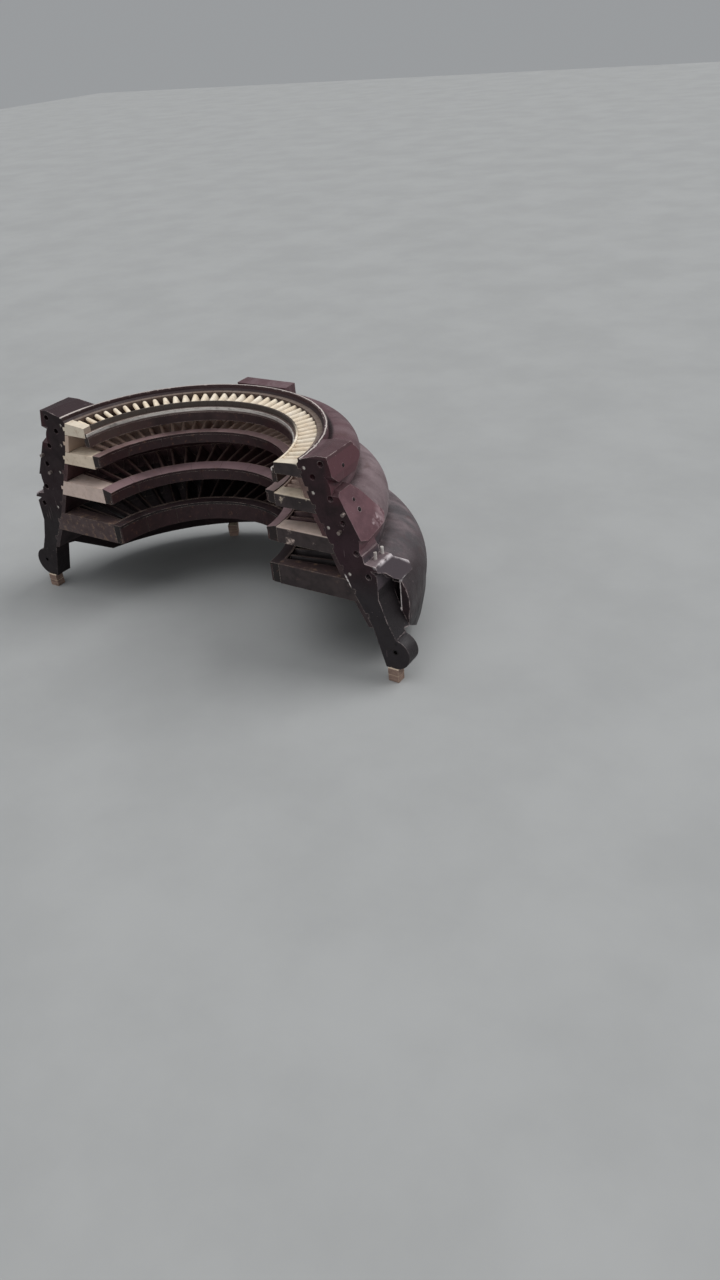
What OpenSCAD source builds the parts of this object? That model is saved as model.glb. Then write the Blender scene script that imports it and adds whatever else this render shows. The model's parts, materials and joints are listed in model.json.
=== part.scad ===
// Gas turbine vane carrier, one half of the horizontally split stator casing.
// It stands on its wide exhaust end on short timber blocks, axis vertical.
// X runs along the joint faces, Y points away from them, Z is up.

/* [Stand] */
// height of the timber blocks
block_h = 120; // [90:5:150]
// side of the timber blocks
block_side = 110; // [90:5:150]

/* [Casing] */
// height of the casing casting, from its lower end to the rim
casing_h = 1645; // [1625:5:1665]
// outer radius of the top rim
rim_r = 1225; // [1215:1:1240]
// width of the lip on top of the rim
rim_w = 30; // [22:1:34]
// depth of the step inside the rim
rim_step = 28; // [20:1:34]
// depth of the plain rim above the first hump
rim_h = 62; // [50:2:70]
// radius of the bore of the casting at the first row
bore_r = 1180; // [1176:1:1184]
// growth of the bore radius for each unit of height downward, at the first row
bore_slope = 0.307; // [0.3:0.001:0.315]
// the same from the second row to the fourth
mid_slope = 0.417; // [0.41:0.001:0.425]
// the same at the fourth row and its shield
exhaust_slope = 0.53; // [0.52:0.005:0.54]
// the same below the last shield
outlet_slope = 0.28; // [0.27:0.005:0.29]
// radius the first hump reaches
hump1_r = 1458; // [1448:1:1468]
// radius the second hump reaches
hump2_r = 1660; // [1650:1:1670]
// radius the third hump reaches
hump3_r = 1938; // [1928:1:1946]
// radius of the casting at its lower end
foot_r = 1850; // [1840:1:1865]

/* [Joint flanges] */
// thickness of the joint flanges, back from the joint face
flange_t = 230; // [215:5:240]
// how far the flanges stand above the rim
flange_up = 40; // [30:2:50]
// how far the flat facets reach back from the joint face
facet_back = 390; // [370:5:405]
// radius of the stud holes in the joint faces
bolt_hole_r = 24; // [20:1:28]
// depth of the stud holes
bolt_hole_d = 190; // [150:5:205]
// radius of the round lugs at the lower corners
lug_r = 134; // [124:2:140]
// thickness of the round lugs
lug_t = 140; // [120:5:160]
// radius of the hole in the lugs
lug_hole_r = 17; // [12:1:22]

/* [Vanes] */
// gap between neighbouring vane platforms
vane_gap = 1.5; // [1:0.5:3]
// thickness of the inner vane platforms
platform_t = 16; // [12:1:20]
// clearance of the pieces that hook into the casting
seat_gap = 0.3; // [0.2:0.1:0.6]
// vanes of the first row in this half
row1_n = 38; // [34:1:40]
// vanes of the second row in this half
row2_n = 34; // [30:1:36]
// vanes of the third row in this half
row3_n = 28; // [25:1:30]
// vanes of the fourth row in this half
row4_n = 25; // [22:1:27]

/* [Hidden] */
zfoot = block_h;
ztop = zfoot + casing_h;
// depth of each row's leading edge below the rim, its axial depth, and its inner radii
row_drop = [45, 312, 600, 930];
row_deep = [105, 110, 135, 180];
row_hub = [985, 955, 930, 900];
row_n = [row1_n, row2_n, row3_n, row4_n];
// how much lower the leading edges lie at the hub, and the thickness of the blades
row_lean = [20, 0, 0, 0];
row_thick = [42, 36, 38, 42];
// inner radius of each inner ring, its upper and lower face below the rim, and the fall of its top
ring_in = [940, 862, 820, 800];
ring_up = [110, 300, 595, 934];
ring_low = [225, 400, 730, 1106];
ring_fall = [0, 0, 25, 0];
// the strip on the first inner ring, and the seal segments of the others
strip_w = 12;
strip_h = 40;
seal_w = 18;
ledge_h = 22;
// angle that the end blocks of each row take at each joint face
end_a = [4.5, 7, 8, 6];
// radial depth from the bore to the blade tips' path
tip_gap = 41;
// the rails that hook the pieces into the casting
rail_w = 34;
rail_h = 22;
pin_out = 30;
pin_r = 15;
pin_deep = 60;
screw_r = 15;
screw_sink = 6;
stud_r = 13;
stud_foot = 26;
stud_h = 80;
y_mid = (hump3_r - pin_out) / 2;

// the bore widens in four steps, measured below the rim
drop_end = row_drop[3] + row_deep[3] + 204;
bore_2 = bore_r + bore_slope * (row_drop[1] - row_drop[0]);
bore_4 = bore_2 + mid_slope * (row_drop[3] - row_drop[1]);
bore_end = bore_4 + exhaust_slope * (drop_end - row_drop[3]);
function bore(z) =
  let (d = ztop - z)
  d <= row_drop[1] ? bore_r + bore_slope * (d - row_drop[0])
  : d <= row_drop[3] ? bore_2 + mid_slope * (d - row_drop[1])
  : d <= drop_end ? bore_4 + exhaust_slope * (d - row_drop[3])
  : bore_end + outlet_slope * (d - drop_end);
function tip(z) = bore(z) - tip_gap;
function row_top(i) = ztop - row_drop[i];
function row_bot(i) = row_top(i) - row_deep[i];

// upper and lower end of the shields below each row
shield_up = [for (i = [0:3]) row_bot(i) - 4];
shield_low = [row_top(1) + 4, row_top(2) + 4, row_top(3) + 4, ztop - drop_end];

// stud holes on the right hand joint face
bolt_spots = [[1390, ztop - 20], [1310, ztop - 130], [1446, ztop - 280],
              [1535, ztop - 460], [1625, ztop - 690], [hump3_r - 221, ztop - 868]];
dowel_spots = [[1555, ztop - 378], [1507, ztop - 532]];
screw_spots = [for (z = [ztop - 70, ztop - 257, ztop - 520, ztop - 880]) [bore(z) + 52, z]];

// the facets' planes, the side of the flange below them and the lug
facet1_x = hump1_r + 8;
facet2_x = hump1_r + 50;
facet3_x = hump3_r - 155;
side_x = hump3_r - 148;
lug_x = foot_r + 46;
lug_z = zfoot + lug_r;
shelf_z = ztop - 766;
shoulder_spots = [[facet3_x - 61, 110], [facet3_x - 61, 210]];

steel = [0.55, 0.54, 0.52];
maroon = [0.30, 0.17, 0.19];
cream = [0.86, 0.80, 0.66];
brown = [0.45, 0.36, 0.33];
bright = [0.72, 0.71, 0.69];
timber = [0.62, 0.48, 0.30];

// moves the axis so that the box is centred on the origin
module place() {
  translate([0, -y_mid, 0])
    children();
}

module both_sides() {
  children();
  mirror([1, 0, 0])
    children();
}

// turns a radius and height profile through part of the half circle
module sweep(a0, a1) {
  rotate([0, 0, a0])
    rotate_extrude(angle = a1 - a0, $fn = 180)
      children();
}

// the arc that rounds the corner q between p and s
function arc_at(p, q, s, r) =
  let (u = (p - q) / norm(p - q), v = (s - q) / norm(s - q), a = acos(u * v))
  let (c = q + (u + v) / norm(u + v) * r / sin(a / 2), f = q + u * r / tan(a / 2) - c)
  let (g = q + v * r / tan(a / 2) - c, t = 180 - a)
  [for (k = [0:5]) c + (f * sin(t * (1 - k / 5)) + g * sin(t * k / 5)) / sin(t)];

// an outline whose corners [x, y, radius] are rounded where the radius isn't 0
function rounded(pts) =
  let (n = len(pts))
  [for (i = [0:n - 1])
    let (q = pts[i], p = pts[(i + n - 1) % n], s = pts[(i + 1) % n])
    each (q[2] > 0 ? arc_at([p[0], p[1]], [q[0], q[1]], [s[0], s[1]], q[2]) : [[q[0], q[1]]])];

// section of the shell, three humps that grow downward
module shell_section() {
  r1 = 168;
  r2 = 262;
  r3 = 362;
  z3 = ztop - 828 - r3;
  polygon([[bore_r - 60, ztop], [rim_r - 5, ztop], [rim_r, ztop - 5], [rim_r, ztop - rim_h - 20],
           [hump1_r - r1, ztop - rim_h - 20], [hump1_r - r1, ztop - 500], [bore_r - 60, ztop - 500]]);
  translate([hump1_r - r1, ztop - rim_h - r1])
    circle(r = r1, $fn = 96);
  polygon([[bore_r - 60, ztop - 380], [hump2_r - r2, ztop - 380], [hump2_r - r2, ztop - 900],
           [bore_r - 60, ztop - 900]]);
  translate([hump2_r - r2, ztop - 350 - r2])
    circle(r = r2, $fn = 96);
  polygon([[bore_r - 60, ztop - 600], [hump2_r - 12, ztop - 640], [hump2_r - 30, ztop - 720],
           [hump2_r - 50, ztop - 900], [hump3_r - 7, z3 - 40], [hump3_r - 17, z3 - 190],
           [hump3_r - 47, z3 - 340], [foot_r, zfoot], [bore_r - 60, zfoot]]);
  translate([hump3_r - r3, z3])
    circle(r = r3, $fn = 96);
}

// outline of the right hand flange with its three outer facets
facet_outline = rounded([
  [bore_r - 60, ztop + flange_up, 0], [facet1_x - 20, ztop + flange_up, 0],
  [facet1_x + 14, ztop - 110, 0], [facet1_x + 14, ztop - 178, 15], [facet1_x - 50, ztop - 212, 8],
  [facet2_x, ztop - 228, 0], [hump2_r + 36, ztop - 612, 25],
  [hump2_r + 12, ztop - 650, 12], [facet3_x - 95, shelf_z + 2, 12], [facet3_x, shelf_z - 7, 0],
  [facet3_x + 96, ztop - 972, 15], [side_x, ztop - 985, 0], [bore_r - 60, ztop - 985, 0]]);

// outline of the plate behind the joint face
plate_outline = rounded([
  [bore_r - 60, ztop + flange_up - 3, 0], [facet1_x - 50, ztop + flange_up - 3, 0],
  [facet1_x - 80, ztop - 190, 20], [facet2_x + 20, ztop - 330, 20], [hump2_r - 60, ztop - 560, 30],
  [hump2_r + 4, ztop - 690, 20], [facet3_x - 80, ztop - 790, 0], [side_x, ztop - 850, 20],
  [side_x, ztop - 1050, 60], [side_x + 60, ztop - 1235, 40], [lug_x + 0.2 * lug_r, lug_z + 0.9 * lug_r, 0],
  [lug_x + 0.8 * lug_r, lug_z + 0.3 * lug_r, 0], [lug_x - 0.7 * lug_r, lug_z - 0.65 * lug_r, 0],
  [bore_r - 60, lug_z - 0.65 * lug_r, 0]]);

// the flat facets as seen from the side, back from the joint face and up
facet_shapes = [
  rounded([[0, ztop + flange_up + 5, 0], [facet_back - 60, ztop + flange_up + 5, 0],
           [facet_back + 20, ztop - 70, 40], [facet_back - 80, ztop - 178, 30], [95, ztop - 190, 25],
           [0, ztop - 105, 0]]),
  rounded([[0, ztop - 255, 0], [55, ztop - 212, 12], [166, ztop - 206, 20], [250, ztop - 290, 40],
           [facet_back + 10, ztop - 517, 30], [facet_back - 45, ztop - 575, 30],
           [81, ztop - 605, 25], [0, ztop - 575, 0]]),
  rounded([[0, ztop - 700, 0], [222, ztop - 700, 0], [242, ztop - 790, 20],
           [facet_back + 2, ztop - 893, 30], [facet_back, ztop - 966, 20], [flange_t - 5, ztop - 972, 12],
           [flange_t - 89, ztop - 921, 20], [80, ztop - 852, 30], [0, ztop - 815, 0]])
];

module along_y(depth) {
  rotate([90, 0, 0])
    translate([0, 0, -depth])
      linear_extrude(depth)
        children();
}

module flange() {
  along_y(flange_t)
    polygon(plate_outline);
  intersection() {
    along_y(facet_back + 120)
      polygon(facet_outline);
    for (f = facet_shapes)
      rotate([90, 0, 90])
        linear_extrude(2000)
          polygon(f);
  }
  translate([lug_x, 0, lug_z])
    rotate([-90, 0, 0])
      cylinder(h = lug_t, r = lug_r, $fn = 96);
}

// everything inside the bore, with the grooves that hold the pieces
module bore_space() {
  sweep(-5, 185)
    polygon([[0, ztop + 2 * flange_up], [hump1_r - 96 + (hump1_r - 96 - rim_r), ztop + 2 * flange_up],
             [rim_r, ztop], [rim_r - rim_w, ztop], [rim_r - rim_w, ztop - rim_step],
             [bore_r, row_top(0)], [bore_2, row_top(1)], [bore_4, row_top(3)],
             [bore_end, ztop - drop_end], [bore(zfoot - 10), zfoot - 10], [0, zfoot - 10]]);
  for (i = [0:3]) {
    rail_groove(row_top(i), row_bot(i));
    rail_groove(shield_up[i], shield_low[i]);
  }
}

module rail_groove(zu, zl) {
  zm = (zu + zl) / 2;
  sweep(-5, 185)
    polygon([[bore(zm) - 40, zm + rail_w / 2], [bore(zm) + rail_h, zm + rail_w / 2],
             [bore(zm) + rail_h, zm - rail_w / 2], [bore(zm) - 40, zm - rail_w / 2]]);
}

// the back of a platform or shield with its rail, from its upper to its lower end
function rail_back(zu, zl) =
  let (zm = (zu + zl) / 2, g = seat_gap)
  [[bore(zu) - g, zu], [bore(zm + rail_w / 2) - g, zm + rail_w / 2 - g],
   [bore(zm) + rail_h - g, zm + rail_w / 2 - g], [bore(zm) + rail_h - g, zm - rail_w / 2 + g],
   [bore(zm - rail_w / 2) - g, zm - rail_w / 2 + g], [bore(zl) - g, zl]];

module platform_section(zu, zl) {
  polygon(concat([[tip(zu), zu]], rail_back(zu, zl), [[tip(zl), zl]]));
}

// the stud holes, the dowel holes and the screw seats in a joint face
module face_holes() {
  for (p = bolt_spots)
    translate([p[0], -10, p[1]])
      rotate([-90, 0, 0])
        cylinder(h = bolt_hole_d + 10, r = bolt_hole_r, $fn = 48);
  for (p = dowel_spots)
    translate([p[0], -10, p[1]])
      rotate([-90, 0, 0])
        cylinder(h = pin_deep + 10, r = pin_r, $fn = 32);
  for (p = screw_spots)
    translate([p[0], -10, p[1]])
      rotate([-90, 0, 0])
        cylinder(h = 40, r = screw_r, $fn = 32);
  translate([lug_x + 10, -10, lug_z + 20])
    rotate([-90, 0, 0])
      cylinder(h = 80, r = lug_hole_r, $fn = 32);
  for (p = shoulder_spots)
    translate([p[0], p[1], shelf_z - stud_foot - seat_gap])
      cylinder(h = 60, r = stud_r + seat_gap, $fn = 32);
}

// the wedge that is cut away under the third hump beside the lug
module lower_relief() {
  translate([1560, 0, 0])
    rotate([90, 0, 90])
      linear_extrude(600)
        polygon([[lug_t + 15, 0], [lug_t + 15, zfoot + 290], [flange_t - 5, zfoot + 275],
                 [640, zfoot], [640, 0]]);
}

// the hollow between the joint face and the end wall of the third hump
module corner_pocket() {
  along_y(flange_t - 4)
    polygon([[side_x, ztop - 800], [hump3_r + 100, ztop - 800], [hump3_r + 100, lug_z], [side_x, lug_z]]);
  translate([side_x, 0, 0])
    rotate([90, 0, 90])
      linear_extrude(58)
        polygon([[flange_t - 30, ztop - 1000], [flange_t, ztop - 1000], [400, ztop - 1110],
                 [400, zfoot + 120], [flange_t - 30, zfoot + 120]]);
}

module casing() {
  color(maroon)
    place()
      difference() {
        union() {
          difference() {
            sweep(0, 180)
              shell_section();
            both_sides()
              corner_pocket();
          }
          both_sides()
            flange();
        }
        both_sides()
          lower_relief();
        bore_space();
        both_sides()
          face_holes();
      }
}

// the wear pad on the shoulder behind the rim
module guide_pad() {
  r1 = 168;
  color(maroon)
    place()
      difference() {
        translate([-390, hump1_r - 100, ztop - rim_h - 98])
          cube([520, 150, 110]);
        sweep(0, 180)
          translate([hump1_r - r1, ztop - rim_h - r1])
            circle(r = r1 + seat_gap, $fn = 96);
      }
}

// one blade section, leading edge up, in the tangent and height plane
function blade_half(t, s) =
  5 * t * (0.2969 * sqrt(s) - 0.126 * s - 0.3516 * s * s + 0.2843 * s * s * s - 0.0936 * s * s * s * s);
function blade_pt(i, w, t, s, side) =
  [w * (0.37 - s * s) + side * blade_half(t, s), row_top(i) - 8 - (row_deep[i] - 16) * s];
steps = [0, 0.03, 0.1, 0.22, 0.4, 0.6, 0.8, 0.97];
function blade_outline(i, w, t) = concat(
  [for (k = [0:7]) blade_pt(i, w, t, steps[k], 1)],
  [for (k = [7:-1:1]) blade_pt(i, w, t, steps[k], -1)]);

module one_vane(i) {
  a = (180 - 2 * end_a[i]) / row_n[i];
  ra = row_hub[i];
  rb = ra - platform_t / 2;
  w = 0.77 * ra * a * PI / 180;
  g = vane_gap / ra * 180 / PI;
  zt = row_top(i);
  zb = row_bot(i);
  zh = zt - row_lean[i];
  sweep(-a / 2 + g / 2, a / 2 - g / 2)
    platform_section(zt, zb);
  sweep(-a / 2 + g / 2, a / 2 - g / 2)
    polygon([[ra - platform_t, zh], [ra, zh], [ra, zb], [ra - platform_t, zb]]);
  intersection() {
    translate([tip(zt), 0, zt])
      rotate([0, -atan2(row_lean[i], tip(zt) - ra), 0])
        translate([-tip(zt), 0, -zt])
          rotate([90, 0, 90])
            linear_extrude(2000)
              polygon(blade_outline(i, w, row_thick[i]));
    sweep(-a / 2 + g / 2, a / 2 - g / 2)
      polygon([[rb, zh], [tip(zt) + 8, zt], [tip(zb) + 8, zb], [rb, zb]]);
  }
}

module vane_row(i) {
  a = (180 - 2 * end_a[i]) / row_n[i];
  for (k = [0:row_n[i] - 1])
    rotate([0, 0, end_a[i] + a * (k + 0.5)])
      one_vane(i);
}

module vane_row_1() {
  color(cream)
    place()
      vane_row(0);
}

module vane_row_2() {
  color(brown)
    place()
      vane_row(1);
}

module vane_row_3() {
  color(brown)
    place()
      vane_row(2);
}

module vane_row_4() {
  color(brown)
    place()
      vane_row(3);
}

// the wedges that close a row at the two joint faces, from the hub to the casing
module end_blocks(i) {
  zt = row_top(i);
  zb = row_bot(i);
  ri = row_hub[i] - platform_t;
  g = vane_gap / row_hub[i] * 180 / PI;
  for (a = [0, 180 - end_a[i] + g])
    sweep(a, a + end_a[i] - g)
      polygon(concat([[ri, zt - row_lean[i]]], rail_back(zt, zb), [[ri, zb]]));
}

module end_blocks_1() {
  color(cream)
    place()
      end_blocks(0);
}

module end_blocks_2() {
  color(cream)
    place()
      end_blocks(1);
}

module end_blocks_3() {
  color(cream)
    place()
      end_blocks(2);
}

module end_blocks_4() {
  color(cream)
    place()
      end_blocks(3);
}

// the ring that ties the inner ends of a row together, with a recess for its seal segments
module inner_ring(i) {
  r = ring_in[i];
  ro = row_hub[i] - platform_t - seat_gap;
  zu = ztop - ring_up[i];
  zi = zu - ring_fall[i];
  zl = ztop - ring_low[i];
  sweep(0, 180)
    polygon([[r, zi], [ro, zu], [ro, zl], [r + seal_w, zl], [r + seal_w, zi - ledge_h],
             [r, zi - ledge_h]]);
}

// the first inner ring reaches under the vanes and carries the strip on its upper edge
module strip_ring() {
  r = ring_in[0];
  ro = row_hub[0] - platform_t - seat_gap;
  zu = ztop - ring_up[0];
  zh = row_bot(0) - seat_gap;
  zl = ztop - ring_low[0];
  sweep(0, 180)
    polygon([[r + strip_w, zu], [ro, zu], [ro, zh], [row_hub[0], zh], [row_hub[0], zl], [r, zl],
             [r, zu - strip_h - seat_gap], [r + strip_w, zu - strip_h - seat_gap]]);
}

module inner_ring_1() {
  color(steel)
    place()
      strip_ring();
}

module inner_ring_2() {
  color(brown)
    place()
      inner_ring(1);
}

module inner_ring_3() {
  color(brown)
    place()
      inner_ring(2);
}

module inner_ring_4() {
  color(brown)
    place()
      inner_ring(3);
}

// the shield segments on the bore that face the tips of the moving blades
module heat_shields(i, n) {
  a = 180 / n;
  g = 0.08;
  for (k = [0:n - 1])
    sweep(a * k + (k == 0 ? 0 : g), a * (k + 1) - (k == n - 1 ? 0 : g))
      platform_section(shield_up[i], shield_low[i]);
}

module heat_shields_1() {
  color(steel)
    place()
      heat_shields(0, 20);
}

module heat_shields_2() {
  color(steel)
    place()
      heat_shields(1, 18);
}

module heat_shields_3() {
  color(steel)
    place()
      heat_shields(2, 16);
}

module heat_shields_4() {
  color(steel)
    place()
      heat_shields(3, 14);
}

// the thin worn strip in the upper edge of the first inner ring
module inlet_seal_strip() {
  r = ring_in[0];
  zu = ztop - ring_up[0];
  color(bright)
    place()
      sweep(0, 180)
        polygon([[r, zu], [r + strip_w - seat_gap, zu], [r + strip_w - seat_gap, zu - strip_h],
                 [r, zu - strip_h]]);
}

// the seal segments in the recess of an inner ring
module seal_segments(i, n) {
  a = 180 / n;
  g = 0.1;
  r = ring_in[i];
  zu = ztop - ring_up[i] - ring_fall[i] - ledge_h - seat_gap;
  zl = ztop - ring_low[i] + 6;
  for (k = [0:n - 1])
    sweep(a * k + g, a * (k + 1) - g)
      polygon([[r + 2, zu], [r + seal_w - seat_gap, zu], [r + seal_w - seat_gap, zl], [r + 2, zl]]);
}

module seal_segments_2() {
  color(steel)
    place()
      seal_segments(1, 9);
}

module seal_segments_3() {
  color(steel)
    place()
      seal_segments(2, 9);
}

module seal_segments_4() {
  color(steel)
    place()
      seal_segments(3, 9);
}

// the screws that lock the shields and blocks, sunk in the joint faces
module end_screws() {
  color(bright)
    place()
      both_sides()
        for (p = screw_spots)
          translate([p[0], screw_sink, p[1]])
            rotate([-90, 0, 0])
              cylinder(h = 30 - screw_sink - seat_gap, r = screw_r - seat_gap, $fn = 32);
}

// the dowels that stand out of the joint faces
module joint_dowels() {
  color(bright)
    place()
      both_sides()
        for (p = dowel_spots)
          translate([p[0], -pin_out, p[1]])
            rotate([-90, 0, 0])
              cylinder(h = pin_out + pin_deep - seat_gap, r = pin_r - seat_gap, $fn = 32);
}

// the two short studs on the shoulder above the third facet
module shoulder_studs() {
  color(bright)
    place()
      both_sides()
        for (p = shoulder_spots)
          translate([p[0], p[1], shelf_z - stud_foot])
            cylinder(h = stud_h, r = stud_r, $fn = 32);
}

// the timber blocks on the floor
module timber_blocks() {
  color(timber)
    place() {
      both_sides()
        translate([lug_x - block_side / 2 - 14, -25, 0])
          cube([block_side, block_side, block_h]);
      for (a = [60, 90, 120])
        rotate([0, 0, a])
          translate([foot_r - block_side, -block_side / 2, 0])
            cube([block_side + 30, block_side, block_h]);
    }
}

casing();
guide_pad();
vane_row_1();
vane_row_2();
vane_row_3();
vane_row_4();
end_blocks_1();
end_blocks_2();
end_blocks_3();
end_blocks_4();
inner_ring_1();
inner_ring_2();
inner_ring_3();
inner_ring_4();
heat_shields_1();
heat_shields_2();
heat_shields_3();
heat_shields_4();
inlet_seal_strip();
seal_segments_2();
seal_segments_3();
seal_segments_4();
end_screws();
joint_dowels();
shoulder_studs();
timber_blocks();
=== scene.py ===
import json
import math
import random
import bpy
import bmesh
from mathutils import Matrix, Vector


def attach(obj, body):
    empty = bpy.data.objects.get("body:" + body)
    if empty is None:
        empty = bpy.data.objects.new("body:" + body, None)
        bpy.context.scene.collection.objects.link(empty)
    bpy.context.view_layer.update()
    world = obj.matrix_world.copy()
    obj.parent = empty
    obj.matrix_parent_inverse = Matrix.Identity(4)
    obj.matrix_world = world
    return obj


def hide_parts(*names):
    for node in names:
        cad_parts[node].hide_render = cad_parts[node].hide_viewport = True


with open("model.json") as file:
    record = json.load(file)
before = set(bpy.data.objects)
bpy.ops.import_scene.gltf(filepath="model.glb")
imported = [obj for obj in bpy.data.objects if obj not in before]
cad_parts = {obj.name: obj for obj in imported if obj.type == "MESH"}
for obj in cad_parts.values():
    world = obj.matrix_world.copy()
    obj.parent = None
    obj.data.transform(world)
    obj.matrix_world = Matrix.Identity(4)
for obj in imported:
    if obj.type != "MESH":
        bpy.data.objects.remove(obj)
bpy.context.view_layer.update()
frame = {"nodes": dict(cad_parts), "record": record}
NODES = frame["nodes"]
Socket = bpy.types.NodeSocket

# metres, in the frame of the part
Y0 = -0.954                                     # the joint plane
VALLEYS = ((1.407, 1.415), (1.618, 0.935))      # radius and height where two humps meet
FACET_FOOT = 0.79                               # lower end of the lowest flat facet
RIM_LIP = 1.2135                                # mean radius of the rubbed lip of the rim
BORE_R, BORE_Z, BORE_SLOPE = 1.262, 1.453, 0.417    # the bore behind row 2, a cone
RIDGE = ((1.783, 0.0, 0.992), (1.784, 0.238, 0.990), (1.845, 0.392, 0.872))
TIP = ((1.862, 0.226, 0.790), (1.875, 0.30, 0.795))
BOARD_T, BOARD_STEP = 0.0598, 0.0602            # the offcuts, and the height of each layer
FLOOR_HALF = 60.0
# the camera: place behind the joint plane, angles in degrees, focal length in pixels
EYE = (5.178, -5.287, 4.464)
YAW, PITCH, ROLL = -34.17, 33.06, -5.39
FOCAL_PX, LONG_SIDE_PX, SENSOR_MM = 975.0, 1280.0, 36.0


def srgb(*levels):
    """Linear colour from display levels of 0 to 255."""
    out = []
    for c in levels:
        c /= 255.0
        out.append(c / 12.92 if c <= 0.04045 else ((c + 0.055) / 1.055) ** 2.4)
    return tuple(out)


def times(color, k):
    return tuple(c * k for c in color)


# ---------------------------------------------------------------- node helpers
class Graph:
    """A material's node tree, with the place and the normal of the point as sockets."""

    def __init__(self, name):
        self.mat = bpy.data.materials.new(name)
        self.mat.use_nodes = True
        self.t = self.mat.node_tree
        self.t.nodes.clear()
        self.out = self.add("ShaderNodeOutputMaterial")
        self.bsdf = self.add("ShaderNodeBsdfPrincipled")
        self.t.links.new(self.bsdf.outputs[0], self.out.inputs[0])
        self.co = self.add("ShaderNodeTexCoord").outputs["Object"]
        self.geo = self.add("ShaderNodeNewGeometry")
        self.x, y, self.z = self.split(self.co)
        self.y = self.sub(y, Y0)
        self.nx, self.ny, self.nz = self.split(self.geo.outputs["Normal"])
        self.r = self.math("SQRT", self.add2(self.mul(self.x, self.x), self.mul(self.y, self.y)))
        self.ang = self.math("ARCTAN2", self.y, self.x)

    def add(self, kind):
        return self.t.nodes.new(kind)

    def link(self, a, b):
        self.t.links.new(a, b)

    def put(self, value, socket):
        if isinstance(value, Socket):
            self.link(value, socket)
        else:
            socket.default_value = value

    def split(self, vec):
        n = self.add("ShaderNodeSeparateXYZ")
        self.link(vec, n.inputs[0])
        return n.outputs[0], n.outputs[1], n.outputs[2]

    def join(self, x, y, z):
        n = self.add("ShaderNodeCombineXYZ")
        for v, s in zip((x, y, z), n.inputs):
            self.put(v, s)
        return n.outputs[0]

    def math(self, op, a, b=0.0, clamp=False):
        n = self.add("ShaderNodeMath")
        n.operation = op
        n.use_clamp = clamp
        self.put(a, n.inputs[0])
        self.put(b, n.inputs[1])
        return n.outputs[0]

    def add2(self, a, b):
        return self.math("ADD", a, b)

    def sub(self, a, b):
        return self.math("SUBTRACT", a, b)

    def mul(self, *v):
        out = v[0]
        for w in v[1:]:
            out = self.math("MULTIPLY", out, w)
        return out

    def neg(self, a):
        return self.math("SUBTRACT", 1.0, a)

    def most(self, a, b):
        return self.math("MAXIMUM", a, b)

    def stretch(self, scale):
        n = self.add("ShaderNodeMapping")
        n.inputs["Scale"].default_value = scale
        self.link(self.co, n.inputs["Vector"])
        return n.outputs[0]

    def round_vec(self, a, r, z):
        """Angle, radius and height, each with its own scale, so that marks follow the ring."""
        return self.join(self.mul(self.ang, a), self.mul(self.r, r), self.mul(self.z, z))

    def noise(self, scale, detail=4.0, rough=0.55, vec=None, dist=0.0):
        n = self.add("ShaderNodeTexNoise")
        n.inputs["Scale"].default_value = scale
        n.inputs["Detail"].default_value = detail
        n.inputs["Roughness"].default_value = rough
        n.inputs["Distortion"].default_value = dist
        self.link(vec if vec else self.co, n.inputs["Vector"])
        return n.outputs["Fac"]

    def voronoi(self, scale):
        n = self.add("ShaderNodeTexVoronoi")
        n.inputs["Scale"].default_value = scale
        self.link(self.co, n.inputs["Vector"])
        return n.outputs["Distance"]

    def pick(self, value):
        """One even random number for each whole value."""
        n = self.add("ShaderNodeTexWhiteNoise")
        n.noise_dimensions = "1D"
        self.link(self.math("FLOOR", value), n.inputs["W"])
        return n.outputs["Value"]

    def vane(self, count, end):
        """Number of the vane along the ring, with the part of its pitch, from the end angle in degrees."""
        pitch = math.radians(180.0 - 2 * end) / count
        return self.math("DIVIDE", self.sub(self.ang, math.radians(end)), pitch)

    def outward(self):
        """How far the normal points away from the axis."""
        along = self.add2(self.mul(self.x, self.nx), self.mul(self.y, self.ny))
        return self.math("DIVIDE", along, self.r)

    def ramp(self, fac, lo, hi, a=0.0, b=1.0):
        n = self.add("ShaderNodeMapRange")
        n.interpolation_type = "SMOOTHSTEP"
        self.put(fac, n.inputs["Value"])
        n.inputs["From Min"].default_value = lo
        n.inputs["From Max"].default_value = hi
        n.inputs["To Min"].default_value = a
        n.inputs["To Max"].default_value = b
        return n.outputs["Result"]

    def fall(self, fac, lo, hi):
        """1 below lo, 0 above hi."""
        return self.ramp(fac, lo, hi, 1.0, 0.0)

    def band(self, v, lo, hi, soft):
        """1 between lo and hi."""
        return self.mul(self.ramp(v, lo - soft, lo + soft), self.fall(v, hi - soft, hi + soft))

    def spot(self, p, radius, soft):
        """1 within radius of a point."""
        return self.fall(self.vec("DISTANCE", self.co, p, "Value"), radius - soft, radius + soft)

    def capsule(self, p, q, radius, soft):
        """1 within radius of the line from p to q."""
        p, q = Vector(p), Vector(q)
        d = q - p
        v = self.vec("SUBTRACT", self.co, tuple(p))
        dot = self.vec("DOT_PRODUCT", v, tuple(d), "Value")
        t = self.math("DIVIDE", dot, d.length_squared, clamp=True)
        s = self.add("ShaderNodeVectorMath")
        s.operation = "SCALE"
        s.inputs[0].default_value = d
        self.link(t, s.inputs["Scale"])
        away = self.vec("LENGTH", self.vec("SUBTRACT", v, s.outputs[0]), None, "Value")
        return self.fall(away, radius - soft, radius + soft)

    def vec(self, op, a, b, out="Vector"):
        n = self.add("ShaderNodeVectorMath")
        n.operation = op
        self.put(a, n.inputs[0])
        if b is not None:
            self.put(b, n.inputs[1])
        return n.outputs[out]

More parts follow.
